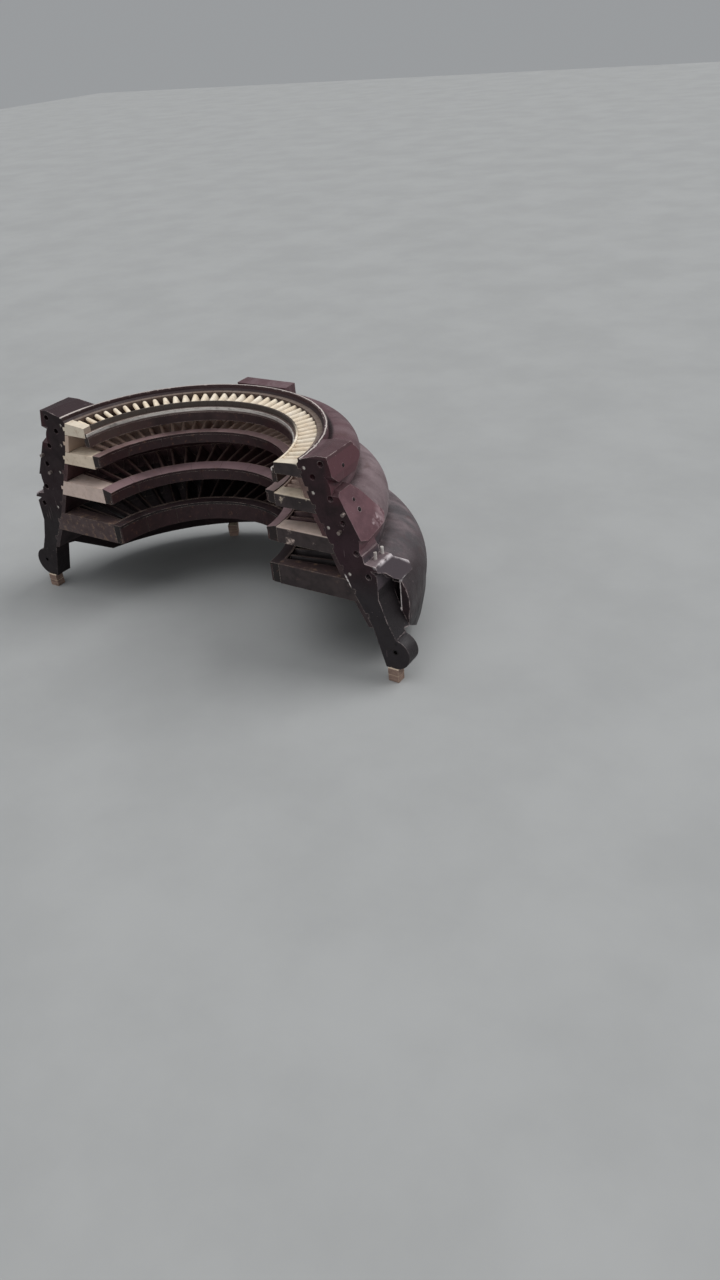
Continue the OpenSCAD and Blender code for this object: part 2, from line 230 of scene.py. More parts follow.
    def mix(self, fac, a, b):
        n = self.add("ShaderNodeMix")
        n.data_type = "RGBA"
        n.clamp_factor = True
        self.put(fac, n.inputs[0])
        self.put(a if isinstance(a, Socket) else (*a, 1.0), n.inputs[6])
        self.put(b if isinstance(b, Socket) else (*b, 1.0), n.inputs[7])
        return n.outputs[2]

    def edges(self, radius, lo=0.02, hi=0.18):
        """1 along sharp edges, 0 on flat ground."""
        b = self.add("ShaderNodeBevel")
        b.samples = 4
        b.inputs["Radius"].default_value = radius
        dot = self.vec("DOT_PRODUCT", b.outputs[0], self.geo.outputs["Normal"], "Value")
        return self.ramp(self.neg(dot), lo, hi)

    def bump(self, height, strength, distance):
        n = self.add("ShaderNodeBump")
        n.inputs["Strength"].default_value = strength
        n.inputs["Distance"].default_value = distance
        self.link(height, n.inputs["Height"])
        return n.outputs[0]

    def finish(self, color, rough, metal=0.0, normal=None, spec=0.5):
        """The material, with its specular level as a constant."""
        self.put(color if isinstance(color, Socket) else (*color, 1.0), self.bsdf.inputs["Base Color"])
        self.put(rough, self.bsdf.inputs["Roughness"])
        self.put(metal, self.bsdf.inputs["Metallic"])
        self.bsdf.inputs["Specular IOR Level"].default_value = spec
        if normal is not None:
            self.link(normal, self.bsdf.inputs["Normal"])
        return self.mat


# ---------------------------------------------------------------- materials
def casing_paint():
    """Oxide paint on the casting. The masks name a place: joint face, facets, bore, hollow, rim."""
    g = Graph("casing_paint")
    big = g.noise(1.3, 3.0, 0.5)
    mid = g.noise(7.0, 6.0, 0.6)
    fine = g.noise(70.0, 5.0, 0.6)
    ax = g.math("ABSOLUTE", g.x)
    # joint face, flat facets, bore, and the lower parts
    face = g.mul(g.fall(g.ny, -0.97, -0.9), g.fall(g.y, 0.004, 0.008))
    flat = g.mul(g.ramp(g.math("ABSOLUTE", g.nx), 0.84, 0.88), g.fall(g.y, 0.44, 0.46),
                 g.ramp(g.z, 0.79, 0.82))
    inward = g.fall(g.outward(), -0.25, -0.08)
    inward = g.mul(inward, g.neg(face), g.ramp(g.ny, -0.9, -0.8), g.fall(g.z, 1.745, 1.755))
    low = g.fall(g.z, 0.66, 0.98)
    foot = g.fall(g.z, 0.46, 0.80)
    # body: oxide red at the top hump, greyer below, darkened low on the lowest hump as painted shade under
    # its overhang
    body = g.mix(g.ramp(g.z, 1.36, 1.50), srgb(106, 90, 93), srgb(86, 60, 65))
    body = g.mix(g.fall(g.z, 0.93, 1.06), body, srgb(70, 65, 68))
    body = g.mix(foot, body, srgb(38, 31, 34))
    body = g.mix(g.ramp(mid, 0.38, 0.68, 0.0, 0.45), body, srgb(72, 54, 58))
    body = g.mix(g.ramp(big, 0.45, 0.7, 0.0, 0.35), body, srgb(66, 42, 48))
    streak = g.noise(1.0, 6.0, 0.65, g.round_vec(15.0, 1.5, 0.8))
    body = g.mix(g.ramp(streak, 0.54, 0.76, 0.0, 0.5), body, srgb(46, 32, 36))
    pale = g.noise(1.0, 5.0, 0.6, g.round_vec(7.0, 2.0, 3.0))
    dust = g.mul(g.ramp(g.nz, 0.1, 0.8), g.ramp(pale, 0.36, 0.66))
    dust = g.mul(dust, g.ramp(g.z, 0.5, 0.9), g.ramp(g.z, 1.45, 1.58, 1.0, 0.45))
    body = g.mix(g.mul(dust, 0.6), body, srgb(134, 118, 121))
    # painted shade in the valleys between the humps, a mottled skin, and painted shade low at the ends
    valley = None
    for rv, zv in VALLEYS:
        dr, dz = g.sub(g.r, rv), g.sub(g.z, zv)
        away = g.math("SQRT", g.add2(g.mul(dr, dr), g.mul(dz, dz)))
        v = g.fall(away, 0.012, 0.085)
        valley = v if valley is None else g.most(valley, v)
    valley = g.mul(valley, g.ramp(g.noise(3.0, 5.0, 0.6), 0.3, 0.55, 0.5, 1.0))
    body = g.mix(g.mul(valley, 0.75), body, srgb(38, 25, 28))
    mottle = g.noise(4.5, 7.0, 0.68, dist=0.6)
    body = g.mix(g.ramp(mottle, 0.55, 0.66, 0.0, 0.42), body, srgb(74, 50, 48))
    body = g.mix(g.ramp(mottle, 0.34, 0.44, 0.35, 0.0), body, srgb(122, 106, 109))
    front = g.mul(g.fall(g.y, 0.45, 1.25), g.fall(g.z, 0.74, 0.92))
    body = g.mix(g.mul(front, g.ramp(mottle, 0.4, 0.6, 0.88, 0.78)), body, srgb(36, 27, 30))
    # flat milled facets
    tile = g.mix(g.ramp(mid, 0.36, 0.66), srgb(98, 66, 72), srgb(82, 53, 59))
    tile = g.mix(g.ramp(big, 0.42, 0.66, 0.0, 0.4), tile, srgb(94, 74, 79))
    tile = g.mix(g.ramp(g.z, 1.50, 1.57, 0.0, 1.0), tile, srgb(82, 49, 55))
    tile = g.mix(g.fall(g.z, 1.02, 1.12), tile, srgb(64, 55, 60))
    body = g.mix(flat, body, tile)
    # joint face: dark paint darkened further as painted shade, browner and paler at its lower end
    joint = g.mix(g.ramp(mid, 0.36, 0.68), srgb(40, 18, 24), srgb(27, 12, 16))
    plum = g.band(g.z, 0.86, 1.22, 0.12)
    joint = g.mix(g.mul(plum, g.ramp(big, 0.35, 0.6, 0.35, 0.9)), joint, srgb(45, 24, 32))
    joint = g.mix(low, joint, srgb(36, 31, 34))
    joint = g.mix(g.ramp(g.noise(16.0, 7.0, 0.7), 0.55, 0.75, 0.0, 0.5), joint, srgb(16, 10, 12))
    body = g.mix(face, body, joint)
    # hollow beside the flange, and the whole inside: dark, as painted shade
    under = g.mul(g.fall(g.z, FACET_FOOT, FACET_FOOT + 0.01), g.neg(face))
    hollow = g.mul(g.ramp(ax, 1.775, 1.785), g.fall(g.y, 0.236, 0.244), under, g.ramp(g.z, 0.36, 0.44))
    body = g.mix(g.mul(hollow, 0.92), body, srgb(22, 16, 19))
    wall = g.mul(g.ramp(ax, 1.848, 1.852), g.band(g.y, 0.215, 0.245, 0.006), under)
    body = g.mix(wall, body, g.mix(g.ramp(mid, 0.4, 0.6), srgb(58, 44, 47), srgb(42, 32, 35)))
    body = g.mix(inward, body, srgb(36, 22, 25))
    # painted shade on the lower outer side beside the flange
    side = g.mul(g.ramp(ax, 1.72, 1.76), g.fall(g.z, 0.40, 0.46), g.neg(face))
    body = g.mix(g.mul(side, 0.85), body, srgb(28, 24, 27))
    # the tops of the flanges; the left faces and the notches between the facets darkened as painted shade;
    # the rusty corner at the rim
    ltop = g.mul(g.ramp(g.x, -1.1, -1.15), g.ramp(g.z, 1.70, 1.74))
    body = g.mix(g.mul(ltop, 0.92), body, srgb(36, 21, 25))
    lface = g.mul(g.ramp(g.x, -1.1, -1.15), g.most(face, g.ramp(g.nx, 0.3, 0.6)))
    body = g.mix(g.mul(lface, 0.6), body, srgb(20, 10, 13))
    rtop = g.mul(g.ramp(g.x, 1.1, 1.15), g.ramp(g.z, 1.775, 1.785))
    body = g.mix(g.mul(rtop, 0.7), body, srgb(66, 42, 46))
    notch = g.mul(g.ramp(ax, 1.2, 1.3), g.band(g.z, 1.49, 1.60, 0.02), g.fall(g.y, 0.26, 0.34),
                  g.neg(face), g.neg(flat))
    body = g.mix(g.mul(notch, 0.85), body, srgb(48, 20, 26))
    rim_red = g.mul(face, g.ramp(ax, 1.40, 1.46), g.ramp(g.z, 1.42, 1.5))
    body = g.mix(g.mul(rim_red, 0.7), body, srgb(54, 18, 25))
    # scuffs, chips, worn edges
    chips = g.mul(g.fall(g.voronoi(30.0), 0.02, 0.09), g.ramp(g.noise(4.0), 0.5, 0.64),
                  g.neg(inward))
    body = g.mix(g.mul(chips, 0.6), body, srgb(184, 168, 166))
    scr = g.noise(1.0, 3.0, 0.5, g.stretch((70.0, 70.0, 3.0)))
    scr = g.mul(g.ramp(scr, 0.66, 0.72), g.ramp(g.noise(2.5), 0.5, 0.6), g.neg(inward))
    body = g.mix(g.mul(scr, 0.35), body, srgb(168, 150, 150))
    wear = g.ramp(g.noise(13.0, 6.0, 0.72), 0.40, 0.60)
    strong = g.mul(g.band(g.z, 0.36, 1.06, 0.03), g.ramp(ax, 1.5, 1.6), g.fall(g.y, 0.42, 0.5))
    strong = g.most(strong, g.ramp(g.z, 1.745, 1.755))
    edge = g.mul(g.edges(0.012), wear, g.ramp(strong, 0.0, 1.0, 0.32, 1.0),
                 g.neg(g.mul(inward, 0.8)), g.neg(g.mul(face, 0.5)))
    body = g.mix(edge, body, srgb(176, 160, 158))
    # a thin bright line down the end wall's edge: partly worn paint, partly painted highlight
    line = g.mul(g.band(ax, 1.846, 1.857, 0.002), g.band(g.y, 0.214, 0.246, 0.004),
                 g.band(g.z, 0.47, FACET_FOOT, 0.03))
    line = g.mul(line, g.ramp(g.noise(24.0, 5.0, 0.7), 0.34, 0.5))
    body = g.mix(line, body, srgb(218, 208, 206))
    # the ridge and tip of the lowest facet, painted white as a highlight
    ridge = None
    for sx in (1, -1):
        for path, radius, soft in ((RIDGE, 0.016, 0.014), (TIP, 0.012, 0.010)):
            at = [(sx * x, y + Y0, z) for x, y, z in path]
            for p0, p1 in zip(at, at[1:]):
                m = g.capsule(p0, p1, radius, soft)
                ridge = m if ridge is None else g.most(ridge, m)
    smear = g.ramp(g.noise(9.0, 5.0, 0.65), 0.40, 0.60)
    shine = g.mul(ridge, smear)
    body = g.mix(g.mul(shine, 0.95), body, srgb(206, 198, 200))
    # painted highlights on the middle facet, and the eyes of the lugs painted dark as the shade in their
    # holes
    pad_highlights = g.most(g.capsule((1.640, Y0 + 0.304, 1.272), (1.647, Y0 + 0.296, 1.250), 0.011, 0.007),
                  g.capsule((1.648, Y0 + 0.238, 1.249), (1.656, Y0 + 0.222, 1.234), 0.012, 0.008))
    pad_highlights = g.mul(pad_highlights, g.ramp(g.noise(30.0, 4.0, 0.6), 0.42, 0.58, 0.1, 0.62))
    body = g.mix(pad_highlights, body, srgb(196, 178, 181))
    eye = g.most(g.spot((1.906, Y0, 0.274), 0.026, 0.003), g.spot((1.916, Y0, 0.352), 0.012, 0.003))
    eye = g.most(eye, g.spot((-1.906, Y0, 0.274), 0.026, 0.003))
    body = g.mix(g.mul(eye, 0.8), body, srgb(12, 9, 10))
    # a painted highlight on the middle hump beside the middle facet
    hump_highlight = g.most(g.spot((1.62, Y0 + 0.40, 1.27), 0.07, 0.05), g.spot((1.66, Y0 + 0.30, 1.22), 0.05, 0.04))
    hump_highlight = g.mul(hump_highlight, g.ramp(g.noise(17.0, 5.0, 0.65), 0.38, 0.6))
    body = g.mix(g.mul(hump_highlight, 0.65), body, srgb(164, 142, 146))
    # rim lip rubbed bright; its inner step dark paint, darkened further as painted shade
    rim = g.mul(g.band(g.r, 1.193, 1.2265, 0.0015), g.ramp(g.z, 1.755, 1.76),
                g.fall(g.z, 1.768, 1.772))
    lip = g.noise(1.0, 7.0, 0.72, g.round_vec(26.0, 30.0, 8.0))
    wave = g.sub(g.noise(1.0, 4.0, 0.6, g.round_vec(22.0, 0.0, 0.0)), 0.5)
    wave = g.add2(RIM_LIP, g.mul(wave, 0.022))
    thin = g.ramp(g.math("ABSOLUTE", g.sub(g.r, wave)), 0.0035, 0.0065, 1.0, 0.0)
    body = g.mix(g.mul(rim, 0.85), body, srgb(50, 30, 33))
    lip = g.mul(g.most(g.mul(thin, g.ramp(lip, 0.3, 0.45)), g.ramp(lip, 0.56, 0.64)), rim)
    lip = g.most(lip, g.mul(rim, g.ramp(g.ang, 2.82, 2.98), g.ramp(g.r, 1.20, 1.206)))
    body = g.mix(lip, body, srgb(206, 196, 190))
    step = g.mul(g.band(g.r, 1.12, 1.196, 0.002), g.ramp(g.z, 1.70, 1.71),
                 g.fall(g.z, 1.762, 1.764))
    body = g.mix(g.mul(step, 0.8), body, srgb(48, 32, 34))
    # bright rub along the inner corner of the right joint face
    inner = g.sub(g.r, g.add2(BORE_R, g.mul(g.sub(BORE_Z, g.z), BORE_SLOPE)))
    rub = g.mul(face, g.ramp(g.x, 0.0, 0.1), g.band(g.z, 0.78, 0.87, 0.015),
                g.fall(inner, 0.010, 0.016))
    body = g.mix(g.mul(rub, g.ramp(g.noise(40.0, 4.0), 0.36, 0.5)), body, srgb(214, 206, 204))
    rough = g.ramp(mid, 0.3, 0.75, 0.44, 0.68)
    rough = g.add2(rough, g.mul(g.most(dust, face), 0.16))
    rough = g.sub(rough, g.mul(shine, 0.2))
    pits = g.ramp(g.voronoi(55.0), 0.1, 0.5)
    h = g.add2(g.add2(g.mul(fine, 0.7), mid), g.add2(g.mul(pits, 0.35), g.mul(mottle, 1.6)))
    h = g.mul(h, g.ramp(g.most(face, flat), 0.0, 1.0, 1.0, 0.3))
    return g.finish(body, rough, g.mul(lip, 0.5), g.bump(h, 0.5, 0.006), 0.32)


def vane_cream(name, count, end, warm, dirty):
    """Coated vanes: each a tone of its own, with painted shade near the gaps, on faces turned down, low in
    the row and on the hub platform, which is also bare dark metal.
    """
    g = Graph(name)
    mid = g.noise(9.0, 6.0, 0.6)
    fine = g.noise(170.0, 4.0, 0.6)
    col = g.mix(g.ramp(mid, 0.35, 0.7), srgb(218, 205, 184), srgb(232, 222, 206))
    k = g.vane(count, end)
    col = g.mix(g.ramp(g.pick(k), 0.0, 1.0, 0.0, 0.35), col, warm)
    frac = g.math("FRACT", k)
    # painted shade in the gaps between the vanes, stronger toward the right end
    gap = g.most(g.fall(frac, 0.015, 0.05), g.ramp(frac, 0.95, 0.985))
    col = g.mix(g.mul(gap, g.ramp(g.ang, 1.9, 2.5, 0.55, 0.2)), col, srgb(128, 96, 76))
    dirt = g.ramp(g.noise(20.0, 7.0, 0.7), 0.48, 0.72, 0.0, dirty)
    col = g.mix(dirt, col, srgb(168, 138, 110))
    # painted shade on faces turned down
    col = g.mix(g.ramp(g.nz, -0.8, 0.15, 0.8, 0.0), col, srgb(120, 92, 78))
    # painted shade low in the row
    deep = g.mul(g.fall(g.z, 1.60, 1.712), g.ramp(g.ang, 1.9, 2.5, 0.45, 0.2))
    col = g.mix(deep, col, srgb(120, 92, 78))
    # the hub platform's inner face: bare dark metal, darkened further as painted shade
    hub = g.mul(g.fall(g.r, 0.984, 0.988), g.ramp(g.ang, 0.45, 0.9))
    col = g.mix(g.mul(hub, 0.95), col, srgb(36, 24, 24))
    outer = g.mul(g.ramp(g.r, 1.128, 1.138), g.ramp(g.ang, 0.12, 0.4, 0.7, 1.0))
    col = g.mix(g.mul(outer, 0.85), col, srgb(62, 40, 40))
    pits = g.mul(g.fall(g.voronoi(150.0), 0.03, 0.12), g.ramp(g.noise(11.0), 0.5, 0.62))
    col = g.mix(g.mul(pits, 0.4), col, srgb(140, 112, 92))
    edge = g.edges(0.0035, 0.03, 0.25)
    col = g.mix(g.mul(edge, 0.25), col, srgb(124, 100, 84))
    h = g.add2(fine, g.mul(pits, -0.8))
    return g.finish(col, g.ramp(mid, 0.3, 0.7, 0.6, 0.82), 0.0, g.bump(h, 0.3, 0.0012))


def end_block(name, lit, row_lo):
    """End blocks: cream on the left face and on top; the right face dark brown, and faces turned down or
    inward darker, all as painted shade.
    """
    g = Graph(name)
    mid = g.noise(9.0, 6.0, 0.62)
    fine = g.noise(150.0, 4.0, 0.6)
    cream = g.mix(g.ramp(mid, 0.35, 0.7), lit, times(lit, 0.86))
    cream = g.mix(g.ramp(g.noise(22.0, 7.0, 0.7), 0.5, 0.74, 0.0, 0.6), cream, srgb(160, 130, 104))
    # painted shade: the right face dark brown
    shade_brown = g.mix(g.ramp(mid, 0.35, 0.7), srgb(48, 36, 36), srgb(34, 25, 26))
    right = g.mul(g.ramp(g.x, 0.0, 0.1), g.fall(g.ny, -0.9, -0.7),
                  g.fall(g.z, row_lo, row_lo + 0.012))
    right = g.mul(right, g.ramp(g.noise(8.0, 5.0, 0.6), 0.3, 0.42))
    col = g.mix(right, cream, shade_brown)
    # painted shade on faces turned down and inward
    col = g.mix(g.ramp(g.nz, -0.9, -0.2, 0.85, 0.0), col, srgb(70, 52, 48))
    inner = g.ramp(g.outward(), -0.9, -0.5, 0.7, 0.0)
    col = g.mix(inner, col, srgb(96, 74, 66))
    edge = g.mul(g.edges(0.005, 0.03, 0.25), g.ramp(g.noise(24.0, 5.0, 0.7), 0.4, 0.6))
    col = g.mix(g.mul(edge, 0.5), col, srgb(210, 196, 178))
    return g.finish(col, g.ramp(mid, 0.3, 0.7, 0.55, 0.8), 0.0, g.bump(fine, 0.25, 0.0012))


def vane_brown(name, count, end, light, dark, top_light):
    """Heat browned vanes, their lips and leading edges rubbed pale, their upward faces lighter as painted
    light.
    """
    g = Graph(name)
    mid = g.noise(9.0, 6.0, 0.6)
    fine = g.noise(130.0, 4.0, 0.6)
    col = g.mix(g.ramp(mid, 0.35, 0.7), light, dark)
    shade = g.pick(g.vane(count, end))
    col = g.mix(g.ramp(shade, 0.0, 1.0, 0.0, 0.3), col, times(light, 1.5))
    soot = g.ramp(g.noise(3.0, 5.0, 0.6), 0.45, 0.7, 0.0, 0.5)
    col = g.mix(soot, col, times(dark, 0.55))
    # painted light on the upward faces
    col = g.mix(g.ramp(g.nz, 0.5, 0.95, 0.0, top_light), col, srgb(186, 160, 148))
    edge = g.mul(g.edges(0.006, 0.03, 0.22), g.ramp(g.noise(20.0), 0.35, 0.6))
    col = g.mix(g.mul(edge, 0.7), col, srgb(204, 184, 168))
    return g.finish(col, g.ramp(mid, 0.3, 0.7, 0.45, 0.68), 0.2, g.bump(fine, 0.25, 0.0012))


def ring_metal(name, parts, top, side, tips, worn=0.75):
    """Inner rings: brown, with joints between their segments and pale worn lips; the tops lighter as
    painted light, the sides darker as painted shade.
    """
    g = Graph(name)
    mid = g.noise(8.0, 6.0, 0.62)
    brush = g.noise(1.0, 4.0, 0.6, g.round_vec(9.0, 160.0, 160.0))
    col = g.mix(g.ramp(mid, 0.3, 0.72), side, times(side, 0.62))
    # painted light on the top faces, against the sides' painted shade
    col = g.mix(g.ramp(g.nz, 0.5, 0.9), col, top)
    col = g.mix(g.ramp(g.noise(2.2, 4.0, 0.5), 0.48, 0.72, 0.0, 0.5), col, times(side, 0.5))
    near = g.mul(g.ramp(g.math("ABSOLUTE", g.x), 0.66, 0.95), g.ramp(g.nz, 0.2, 0.6, 0.3, 1.0))
    col = g.mix(g.mul(near, tips), col, srgb(160, 138, 126))
    k = g.math("FRACT", g.mul(g.ang, parts / math.pi))
    seam = g.most(g.fall(k, 0.002, 0.006), g.ramp(k, 0.994, 0.998))
    col = g.mix(g.mul(seam, 0.8), col, srgb(26, 18, 18))
    spots = g.ramp(g.noise(26.0, 6.0, 0.7), 0.56, 0.72, 0.0, 0.5)
    col = g.mix(spots, col, srgb(120, 84, 66))
    e = g.mul(g.edges(0.006, 0.03, 0.22), g.ramp(g.noise(16.0, 5.0, 0.7), 0.36, 0.6))
    col = g.mix(g.mul(e, worn), col, srgb(206, 190, 180))
    h = g.add2(brush, g.mul(seam, -2.0))
    return g.finish(col, g.ramp(mid, 0.3, 0.72, 0.38, 0.62), 0.35, g.bump(h, 0.25, 0.0015))


def steel(name, dark, light, rough0, rough1, metal, scale=6.0, edge=0.6):
    """Plain steel, brushed and stained."""
    g = Graph(name)
    mid = g.noise(scale, 6.0, 0.62)
    brush = g.noise(1.0, 4.0, 0.6, g.stretch((30.0, 30.0, 260.0)))
    col = g.mix(g.ramp(mid, 0.3, 0.72), dark, light)
    col = g.mix(g.ramp(g.noise(2.2, 4.0, 0.5), 0.48, 0.72, 0.0, 0.45), col, srgb(96, 66, 58))
    e = g.mul(g.edges(0.005, 0.03, 0.22), g.ramp(g.noise(16.0), 0.3, 0.6))
    col = g.mix(g.mul(e, edge), col, srgb(210, 204, 196))
    return g.finish(col, g.ramp(mid, 0.3, 0.72, rough0, rough1), metal, g.bump(brush, 0.18, 0.001))


def seal_strip():
    """A thin bright band on a darker strip."""
    g = Graph("seal_strip")
    v = g.round_vec(14.0, 60.0, 220.0)
    brush = g.noise(1.0, 5.0, 0.65, v)
    col = g.mix(g.ramp(brush, 0.35, 0.65), srgb(196, 188, 182), srgb(232, 226, 220))
    low = g.fall(g.z, 1.628, 1.634)
    col = g.mix(low, col, g.mix(g.ramp(brush, 0.4, 0.6), srgb(84, 70, 68), srgb(118, 102, 98)))
    stain = g.mul(g.ramp(g.noise(7.0, 5.0, 0.65), 0.52, 0.7), 0.6)
    col = g.mix(stain, col, srgb(92, 74, 68))
    return g.finish(col, g.ramp(brush, 0.3, 0.7, 0.25, 0.45), 0.55, g.bump(brush, 0.2, 0.001))


def shields(name, light, dark):
    """Heat shields: stained steel between the rows, pale at the left end and darker elsewhere as painted
    shade.
    """
    g = Graph(name)
    mid = g.noise(8.0, 6.0, 0.6)
    col = g.mix(g.ramp(mid, 0.32, 0.7), light, dark)
    arc = g.noise(1.0, 5.0, 0.6, g.round_vec(2.0, 60.0, 60.0))
    col = g.mix(g.ramp(arc, 0.5, 0.7, 0.0, 0.45), col, times(light, 1.7))
    # the pale coat at the left end; the rest stays darker as painted shade
    left = g.mul(g.ramp(g.x, -0.8, -1.15), g.ramp(g.z, 1.40, 1.46))
    col = g.mix(g.mul(left, 0.8), col, srgb(206, 184, 166))
    e = g.mul(g.edges(0.005, 0.03, 0.22), g.ramp(g.noise(18.0), 0.35, 0.6))
    col = g.mix(g.mul(e, 0.5), col, srgb(170, 152, 142))
    return g.finish(col, g.ramp(mid, 0.3, 0.7, 0.42, 0.66), 0.4, g.bump(g.noise(90.0), 0.2, 0.001))


def timber():
    """Sawn softwood, dirty at the sides, its tops paler as painted light."""
    g = Graph("timber")
    v = g.stretch((3.0, 14.0, 60.0))
    grain = g.noise(1.6, 8.0, 0.6, v, 1.2)
    col = g.mix(g.ramp(grain, 0.3, 0.7), srgb(112, 90, 80), srgb(150, 126, 112))
    # painted light: the tops paler than the sides
    top = g.ramp(g.nz, 0.4, 0.9)
    col = g.mix(g.mul(top, 0.8), col, srgb(232, 214, 190))
    dirt = g.ramp(g.noise(9.0, 6.0, 0.7), 0.48, 0.7, 0.0, 0.7)
    col = g.mix(g.mul(dirt, g.neg(g.mul(top, 0.7))), col, srgb(84, 64, 56))
    col = g.mix(g.mul(g.edges(0.006), 0.5), col, srgb(214, 192, 166))
    return g.finish(col, 0.82, 0.0, g.bump(grain, 0.5, 0.002))


# vane colours by row, darker the deeper the row; the lowest rows darkened as painted shade inside the
# casing
BROWN2 = (srgb(198, 174, 162), srgb(150, 124, 116))
BROWN3 = (srgb(88, 62, 64), srgb(60, 40, 43))
BROWN4 = (srgb(40, 28, 30), srgb(28, 20, 22))
# materials by node, then by the record's slot for the nodes that have none of their own
COATS = {
    "casing": casing_paint(),
    "vane_row_1": vane_cream("vanes_1", 38, 4.5, srgb(214, 190, 158), 0.45),
    "vane_row_2": vane_brown("vanes_2", 34, 7, *BROWN2, 0.55),
    "vane_row_3": vane_brown("vanes_3", 28, 8, *BROWN3, 0.3),
    "vane_row_4": vane_brown("vanes_4", 25, 6, *BROWN4, 0.15),
    "end_blocks_1": end_block("ends_1", srgb(210, 198, 180), 1.706),
    "end_blocks_2": end_block("ends_2", srgb(212, 196, 176), 1.440),
    "end_blocks_3": end_block("ends_3", srgb(200, 180, 170), 1.152),
    "end_blocks_4": end_block("ends_4", srgb(70, 54, 54), 0.822),
    "inner_ring_1": ring_metal("rings_1", 9, srgb(106, 86, 82), srgb(58, 38, 39), 0.4),
    "inner_ring_2": ring_metal("rings_2", 10, srgb(134, 110, 110), srgb(46, 23, 28), 0.12),
    "inner_ring_3": ring_metal("rings_3", 10, srgb(144, 118, 122), srgb(44, 22, 27), 0.08),
    "inner_ring_4": ring_metal("rings_4", 10, srgb(52, 40, 43), srgb(30, 20, 23), 0.0),
    "heat_shields_1": shields("shields_1", srgb(128, 104, 96), srgb(92, 72, 68)),
    "heat_shields_2": shields("shields_2", srgb(84, 56, 58), srgb(58, 38, 40)),
    "heat_shields_3": shields("shields_3", srgb(62, 44, 46), srgb(42, 30, 32)),
    "heat_shields_4": shields("shields_4", srgb(56, 44, 46), srgb(38, 30, 32)),
    "inlet_seal_strip": seal_strip(),
    "timber_blocks": timber(),
    "shoulder_studs": steel("stud_steel", srgb(196, 190, 186), srgb(236, 232, 226),
                            0.3, 0.45, 0.35, 30.0),
    "joint_dowels": steel("dowel_steel", srgb(96, 84, 82), srgb(168, 156, 150), 0.3, 0.5, 0.5, 3.0),
    "end_screws": steel("screw_steel", srgb(168, 160, 154), srgb(224, 218, 210),
                        0.25, 0.42, 0.6, 30.0, 0.8),
}
for k in "234":
    COATS["seal_segments_" + k] = ring_metal("seals_" + k, 10, srgb(96, 76, 76), srgb(52, 30, 33),
                                             0.1, 0.2)
SLOTS = {
    "casing_paint": COATS["casing"],
    "vane_coating": COATS["end_blocks_1"],
    "vane_brown": COATS["vane_row_3"],
    "worn_steel": steel("worn_steel", srgb(70, 56, 54), srgb(128, 112, 106), 0.35, 0.6, 0.7),
    "bright_steel": steel("bright_steel", srgb(150, 142, 136), srgb(215, 208, 200),
                          0.22, 0.42, 0.95, 9.0, 0.8),
    "shield_steel": COATS["heat_shields_1"],
    "timber": COATS["timber_blocks"],
}
slots = {p["node"]: p["material_slot"] for p in frame["record"]["subparts"]}
for name, obj in NODES.items():
    m = COATS.get(name) or SLOTS[slots[name]]
    if not obj.data.materials:
        obj.data.materials.append(m)
    for i in range(len(obj.data.materials)):
        obj.data.materials[i] = m


# ---------------------------------------------------------------- small pieces
def build(name, bm, mat):
    """A piece of its own on the fixed body."""
    me = bpy.data.meshes.new(name)
    bmesh.ops.recalc_face_normals(bm, faces=bm.faces)
    bm.to_mesh(me)
    bm.free()
    for f in me.polygons:
        f.use_smooth = True
    o = bpy.data.objects.new(name, me)
    bpy.context.scene.collection.objects.link(o)
    me.materials.append(mat)
    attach(o, "root")
    return o


def lathe(bm, at, axis, profile, seg=28):
    """Turns (radius, height) pairs about an axis through a point, the ends closed."""
    q = Vector(axis).normalized().to_track_quat("Z", "Y")
    rows = []
    for r, h in profile:
        rows.append([bm.verts.new(Vector(at) + q @ Vector((r * math.cos(t), r * math.sin(t), h)))
                     for t in (2 * math.pi * k / seg for k in range(seg))])
    for a, b in zip(rows, rows[1:]):
        for k in range(seg):
            bm.faces.new((a[k], a[(k + 1) % seg], b[(k + 1) % seg], b[k]))
    bm.faces.new(rows[0])
    bm.faces.new(rows[-1])


def dark_hole():
    """The shade in a tapped hole."""
    g = Graph("hole_dark")
    n = g.noise(60.0, 4.0, 0.6)
    col = g.mix(g.ramp(n, 0.35, 0.65), srgb(16, 10, 11), srgb(30, 20, 21))
    return g.finish(col, g.ramp(n, 0.3, 0.7, 0.5, 0.8), 0.0, g.bump(n, 0.3, 0.001), 0.2)


# flat facets: their outward normals on the right side
TOP_FACET = Vector((0.975, 0.0, 0.221))
MID_FACET = Vector((0.898, 0.0, 0.440))
# tapped holes on them: x, y from the joint plane, z, radius, facet
FACET_HOLES = ((1.4725, 0.167, 1.686, 0.014, TOP_FACET),
               (1.555, 0.142, 1.441, 0.013, MID_FACET),
               (1.592, 0.149, 1.365, 0.017, MID_FACET))


def facet_holes():
    """A thin rounded rim and a dark disc for each tapped hole, on both sides."""
    rims = bmesh.new()
    discs = bmesh.new()
    for x, y, z, r, n in FACET_HOLES:
        rim = [(r + 0.006, 0.0), (r + 0.006, 0.0036), (r + 0.004, 0.0046),
               (r + 0.001, 0.0044), (r, 0.0036), (r, 0.0)]
        disc = [(r + 0.0005, 0.0), (r + 0.0005, 0.0032)]
        for sx in (1, -1):
            at = Vector((sx * x, y + Y0, z))
            axis = Vector((sx * n.x, n.y, n.z))
            lathe(rims, at - axis * 0.003, axis, rim)
            lathe(discs, at - axis * 0.002, axis, disc)
    build("facet_hole_rims", rims, COATS["casing"])
    build("facet_holes", discs, dark_hole())


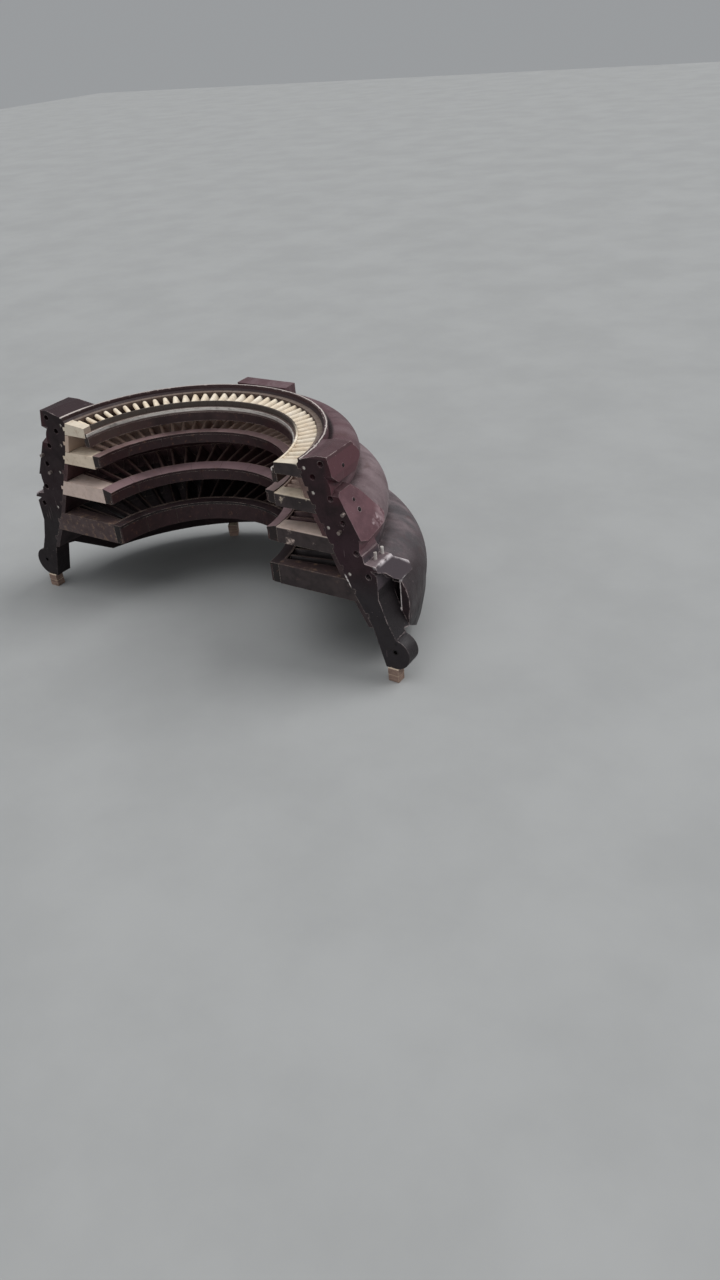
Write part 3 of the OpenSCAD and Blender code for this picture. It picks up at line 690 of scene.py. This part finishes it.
def block_places():
    """Middle of each timber block, and whether it is one of those turned toward the axis."""
    groups = []
    for v in NODES["timber_blocks"].data.vertices:
        near = next((g for g in groups if (g[0] - v.co).length < 0.22), None)
        if near is None:
            near = []
            groups.append(near)
        near.append(v.co.copy())
    places = []
    for pts in groups:
        c = sum(pts, Vector()) / len(pts)
        width = max(max(p[k] for p in pts) - min(p[k] for p in pts) for k in (0, 1))
        places.append((c, width > 0.112))
    return places


def timbers():
    """Short sawn offcuts, two boards high, corners worn."""
    rnd = random.Random(7)
    bm = bmesh.new()
    for c, turned in block_places():
        turn = math.atan2(c.y - Y0, c.x) if turned else 0.0
        for level in range(2):
            w, d = (0.118, 0.088) if turned else (0.096, 0.086)
            w += rnd.uniform(-0.004, 0.004)
            t = turn + math.radians(rnd.uniform(-3, 3))
            part = bmesh.ops.create_cube(bm, size=1.0)["verts"]
            m = (Matrix.Translation((c.x, c.y, BOARD_STEP * level + BOARD_T / 2))
                 @ Matrix.Rotation(t, 4, "Z") @ Matrix.Diagonal((w, d, BOARD_T, 1.0)))
            bmesh.ops.transform(bm, matrix=m, verts=part)
    bmesh.ops.bevel(bm, geom=list(bm.edges), offset=0.004, segments=2, affect="EDGES", profile=0.6)
    for v in bm.verts:
        v.co.x += rnd.uniform(-0.0007, 0.0007)
        v.co.y += rnd.uniform(-0.0007, 0.0007)
    o = build("timber_offcuts", bm, COATS["timber_blocks"])
    for f in o.data.polygons:
        f.use_smooth = False
    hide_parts("timber_blocks")


timbers()
facet_holes()


# ---------------------------------------------------------------- stage
def make_floor():
    me = bpy.data.meshes.new("floor")
    s = FLOOR_HALF
    me.from_pydata([(-s, -s, 0), (s, -s, 0), (s, s, 0), (-s, s, 0)], [], [(0, 1, 2, 3)])
    o = bpy.data.objects.new("floor", me)
    bpy.context.scene.collection.objects.link(o)
    g = Graph("floor_paint")
    n = g.noise(0.7, 5.0, 0.6)
    col = g.mix(g.ramp(n, 0.3, 0.7), (0.285, 0.29, 0.29), (0.315, 0.32, 0.32))
    me.materials.append(g.finish(col, 0.75))


def sun(name, toward, spread, power):
    """A lamp from a direction, spread in degrees."""
    d = bpy.data.lights.new(name, "SUN")
    d.angle = math.radians(spread)
    d.energy = power
    o = bpy.data.objects.new(name, d)
    o.rotation_mode = "QUATERNION"
    o.rotation_quaternion = (-Vector(toward)).to_track_quat("-Z", "Y")
    bpy.context.scene.collection.objects.link(o)


def lights():
    w = bpy.data.worlds.new("studio")
    bpy.context.scene.world = w
    w.use_nodes = True
    bg = w.node_tree.nodes["Background"]
    bg.inputs[0].default_value = (0.94, 0.97, 1.0, 1.0)
    bg.inputs[1].default_value = 0.34
    sun("key", (5.0, 4.5, 7.5), 42.0, 1.95)
    sun("top", (-1.0, -1.5, 8.5), 60.0, 1.2)
    sun("fill", (1.0, -8.0, 3.0), 50.0, 0.42)


def camera():
    yaw, pitch, roll = (math.radians(a) for a in (YAW, PITCH, ROLL))
    f = Vector((math.sin(yaw) * math.cos(pitch), math.cos(yaw) * math.cos(pitch),
                -math.sin(pitch)))
    right = Vector((math.cos(yaw), -math.sin(yaw), 0.0))
    up = right.cross(f)
    c, s = math.cos(roll), math.sin(roll)
    r2 = right * c + up * s
    u2 = up * c - right * s
    cam = bpy.data.cameras.new("camera")
    cam.sensor_width = SENSOR_MM
    cam.lens = FOCAL_PX / LONG_SIDE_PX * SENSOR_MM
    cam.clip_end = 200.0
    o = bpy.data.objects.new("camera", cam)
    m = Matrix((r2, u2, -f)).transposed().to_4x4()
    m.translation = Vector((EYE[0], EYE[1] + Y0, EYE[2]))
    o.matrix_world = m
    bpy.context.scene.collection.objects.link(o)
    bpy.context.scene.camera = o


make_floor()
lights()
camera()
bpy.context.scene.view_settings.view_transform = "Standard"
